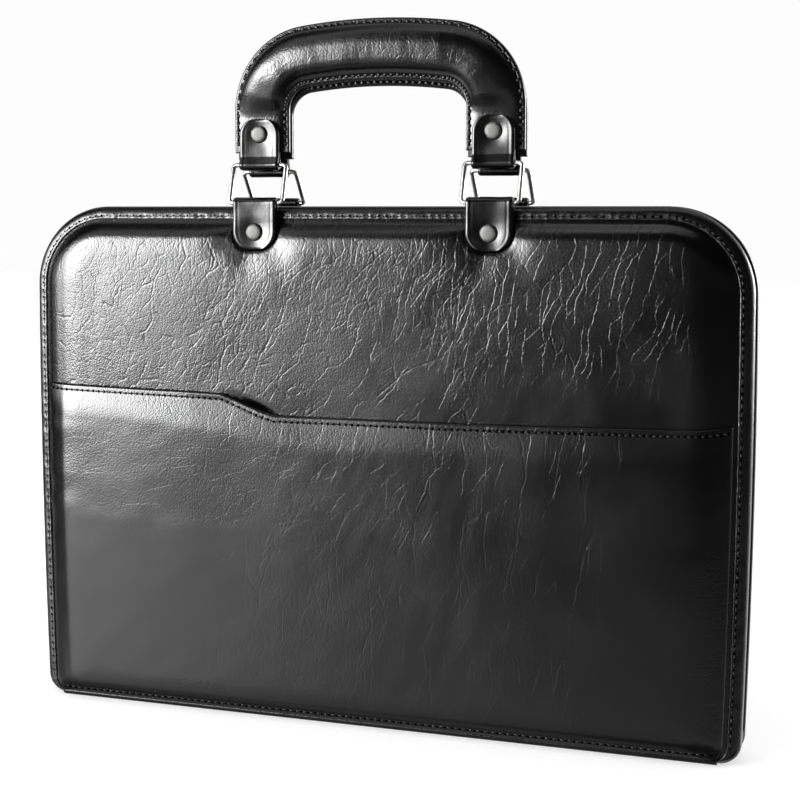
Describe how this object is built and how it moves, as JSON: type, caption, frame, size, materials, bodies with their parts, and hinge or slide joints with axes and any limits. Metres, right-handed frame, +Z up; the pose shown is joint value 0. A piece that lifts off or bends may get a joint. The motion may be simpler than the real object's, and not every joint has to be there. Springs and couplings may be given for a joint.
{
  "type": "laptop briefcase",
  "caption": "Slim padded leather laptop briefcase, zipped round three sides, with a stepped front slip pocket and twin stitched handles on wire rings.",
  "frame": {"origin": "middle of the flat base, on the surface that the case stands on", "axes": "+X along the width, to the right as seen from the front; +Y from the front pocket to the back; +Z up"},
  "size_m": [0.3948, 0.046, 0.3714],
  "materials": {
    "panel_leather": "glossy creased black leather, fine grain",
    "edge_leather": "glossy black leather, folded and stitched",
    "strap_leather": "glossy black leather strap with creased edges",
    "handle_leather": "glossy black padded leather, finely wrinkled",
    "zip_cloth": "woven black zip tape",
    "zip_nylon": "black nylon coil",
    "slider_metal": "satin nickel plate",
    "ring_wire": "bright nickel plated wire",
    "rivet_nickel": "nickel plated, slightly satin cap"
  },
  "bodies": {
    "case": {"front_panel": "panel_leather", "back_panel": "panel_leather", "front_binding": "edge_leather", "back_binding": "edge_leather", "front_zip_tape": "zip_cloth", "back_zip_tape": "zip_cloth", "zip_chain": "zip_nylon", "zip_slider": "slider_metal", "front_pocket": "panel_leather", "base": "edge_leather", "front_left_lower_tab": "strap_leather", "front_right_lower_tab": "strap_leather", "back_left_lower_tab": "strap_leather", "back_right_lower_tab": "strap_leather", "front_left_lower_rivet": "rivet_nickel", "front_right_lower_rivet": "rivet_nickel", "back_left_lower_rivet": "rivet_nickel", "back_right_lower_rivet": "rivet_nickel"},
    "front_rings": {"front_left_ring": "ring_wire", "front_right_ring": "ring_wire"},
    "front_grip": {"front_handle": "handle_leather", "front_left_upper_tab": "strap_leather", "front_right_upper_tab": "strap_leather", "front_left_upper_rivet": "rivet_nickel", "front_right_upper_rivet": "rivet_nickel"},
    "back_rings": {"back_left_ring": "ring_wire", "back_right_ring": "ring_wire"},
    "back_grip": {"back_handle": "handle_leather", "back_left_upper_tab": "strap_leather", "back_right_upper_tab": "strap_leather", "back_left_upper_rivet": "rivet_nickel", "back_right_upper_rivet": "rivet_nickel"}
  },
  "joints": [
    {"name": "front_ring_swing", "type": "hinge", "parent": "case", "child": "front_rings", "pos_m": [0, -0.0156, 0.2777], "axis": [1, 0, 0], "range_deg": [0, 122]},
    {"name": "front_grip_tip", "type": "hinge", "parent": "front_rings", "child": "front_grip", "pos_m": [0, -0.0096, 0.29751], "axis": [1, 0, 0], "range_deg": [0, 55]},
    {"name": "back_ring_swing", "type": "hinge", "parent": "case", "child": "back_rings", "pos_m": [0, 0.0156, 0.2777], "axis": [-1, 0, 0], "range_deg": [0, 141]},
    {"name": "back_grip_tip", "type": "hinge", "parent": "back_rings", "child": "back_grip", "pos_m": [0, 0.0032, 0.29428], "axis": [-1, 0, 0], "range_deg": [0, 28]}
  ]
}
